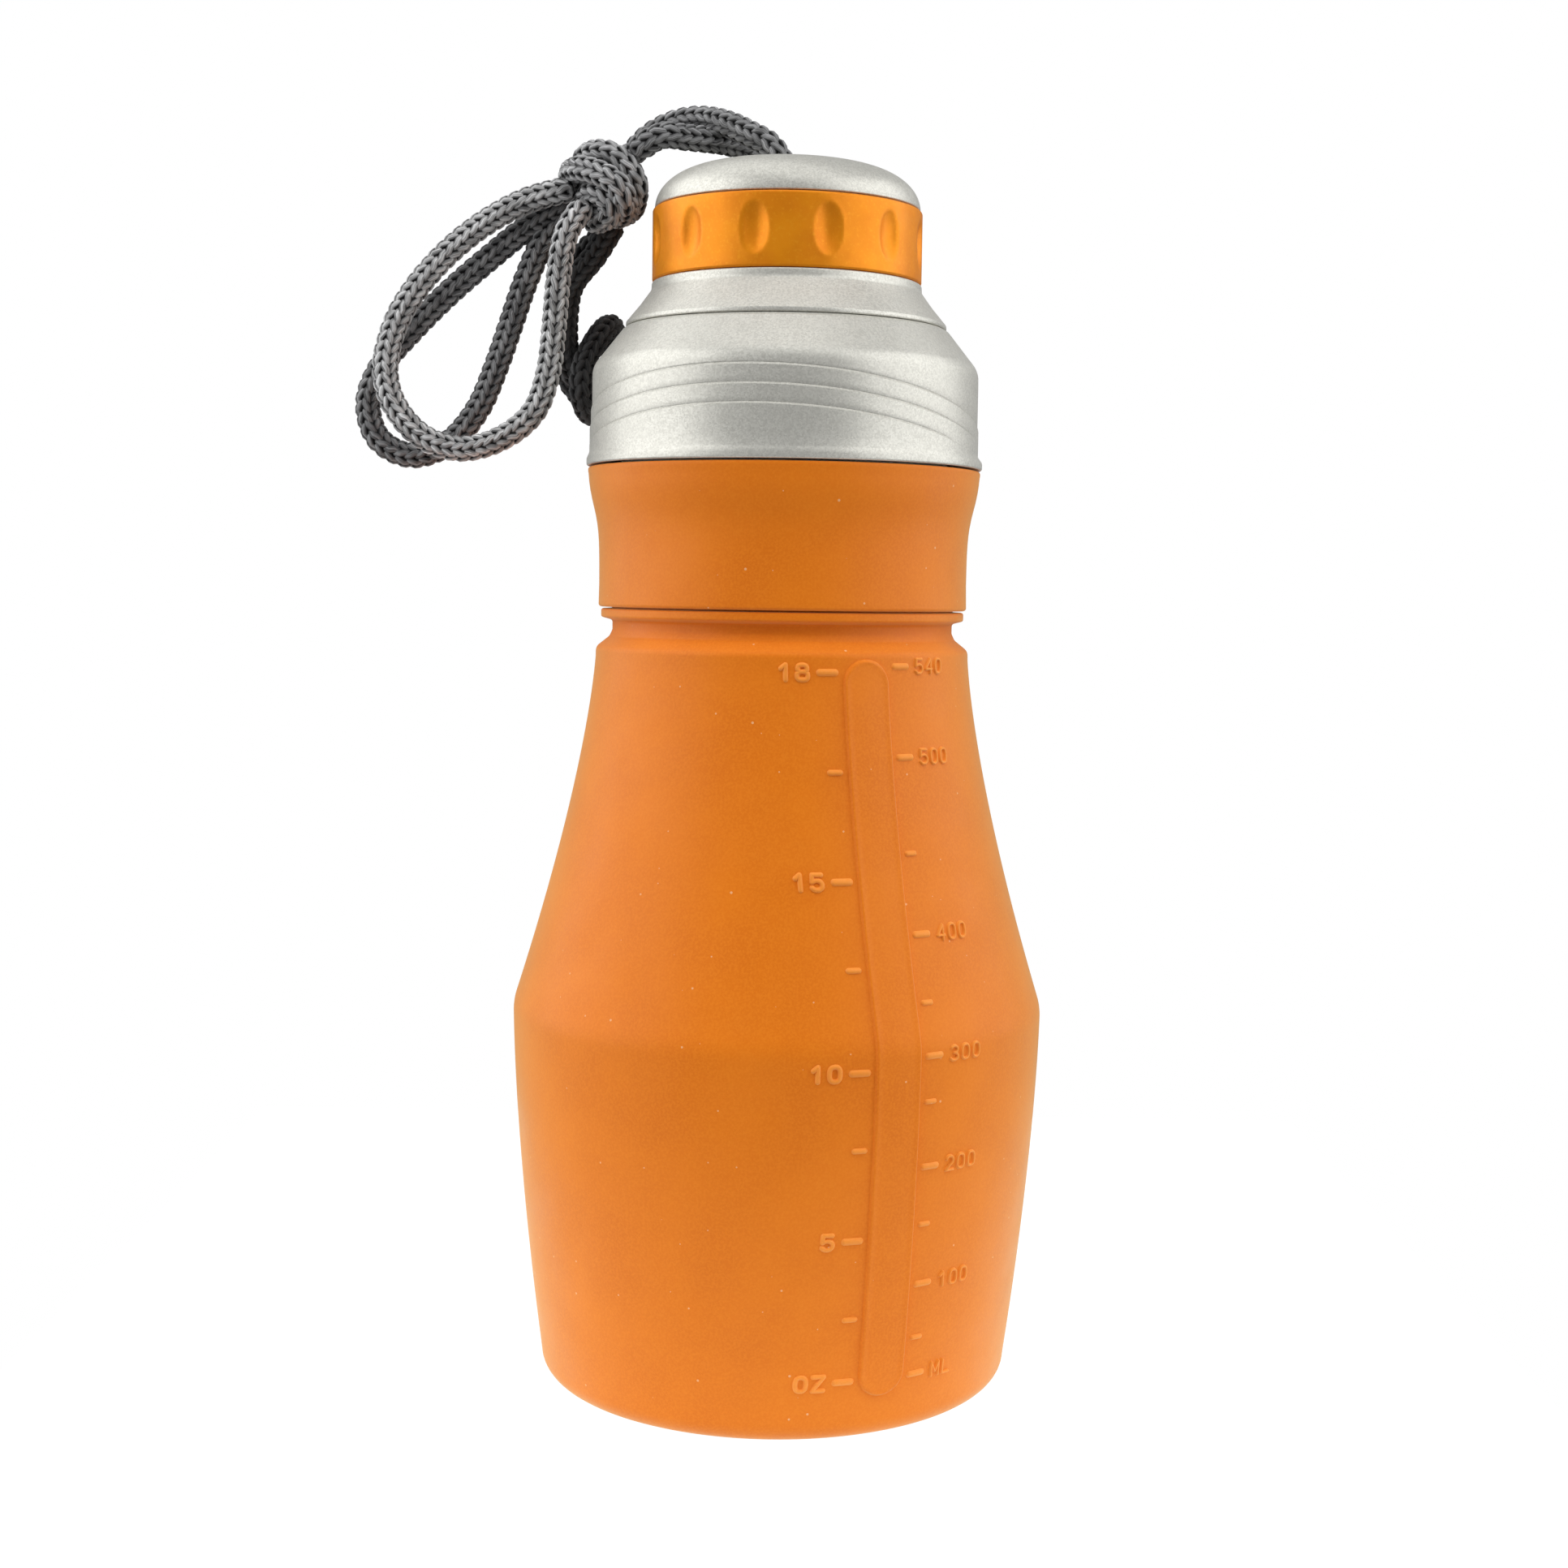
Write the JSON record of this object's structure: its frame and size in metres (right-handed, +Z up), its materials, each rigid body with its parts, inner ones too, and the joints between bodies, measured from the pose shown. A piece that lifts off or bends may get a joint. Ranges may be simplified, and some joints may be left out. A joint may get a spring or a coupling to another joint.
{
  "type": "squeeze bottle",
  "caption": "Collapsible silicone sports squeeze bottle with a measuring strip, screw lid with drinking spout, screw cap with soft grip band and a knotted cord lanyard.",
  "frame": {"origin": "centre of the base, on the bottle's axis, at the surface it stands on", "axes": "+Z up along the bottle's axis; the measuring strip faces -Y turned 25 degrees towards +X; the lanyard hangs on the -X side"},
  "size_m": [0.118, 0.0893, 0.213],
  "materials": {
    "silicone_body": "matte moulded silicone",
    "neck_plastic": "moulded",
    "silver_plastic": "satin metallic paint on plastic",
    "seal_silicone": "translucent silicone",
    "swivel_steel": "brushed",
    "amber_grip": "soft-touch moulded",
    "cord_fabric": "knitted round cord"
  },
  "bodies": {
    "barrel": {"body_barrel": "silicone_body", "body_cone": "silicone_body"},
    "neck": {"body_neck": "silicone_body", "neck_frame": "neck_plastic", "grip_cuff": "silicone_body"},
    "gasket": {"lid_gasket": "seal_silicone"},
    "lid": {"shoulder_lid": "silver_plastic", "spout_collar": "silver_plastic", "spout_oring": "seal_silicone", "cord_knot": "cord_fabric", "cord_cap_leash": "cord_fabric", "cord_lid_hitch": "cord_fabric", "cord_hand_loop_front": "cord_fabric", "cord_hand_loop_back": "cord_fabric"},
    "swivel": {"leash_swivel": "swivel_steel", "swivel_retainer": "swivel_steel"},
    "cap": {"cap_shell": "silver_plastic", "cap_liner": "seal_silicone", "cap_grip_band": "amber_grip"}
  },
  "joints": [
    {"name": "collapse", "type": "slide", "parent": "barrel", "child": "neck", "axis": [0, 0, -1], "range_m": [0, 0.088], "deforming": ["body_cone"]},
    {"name": "lid_lift", "type": "slide", "parent": "neck", "child": "gasket", "axis": [0, 0, 1], "range_m": [0, 0.0085]},
    {"name": "lid_turn", "type": "hinge", "parent": "gasket", "child": "lid", "pos_m": [0, 0, 0.163], "axis": [0, 0, 1], "range_deg": [0, 720]},
    {"name": "cap_lift", "type": "slide", "parent": "lid", "child": "swivel", "axis": [0, 0, 1], "range_m": [0, 0.0085], "deforming": ["cord_cap_leash"]},
    {"name": "cap_turn", "type": "hinge", "parent": "swivel", "child": "cap", "pos_m": [0, 0, 0.192], "axis": [0, 0, 1], "range_deg": [0, 720]}
  ],
  "couplings": [
    {"joint": "lid_lift", "follows": "lid_turn", "m_per_rad": 0.00063662},
    {"joint": "cap_lift", "follows": "cap_turn", "m_per_rad": 0.00063662}
  ]
}
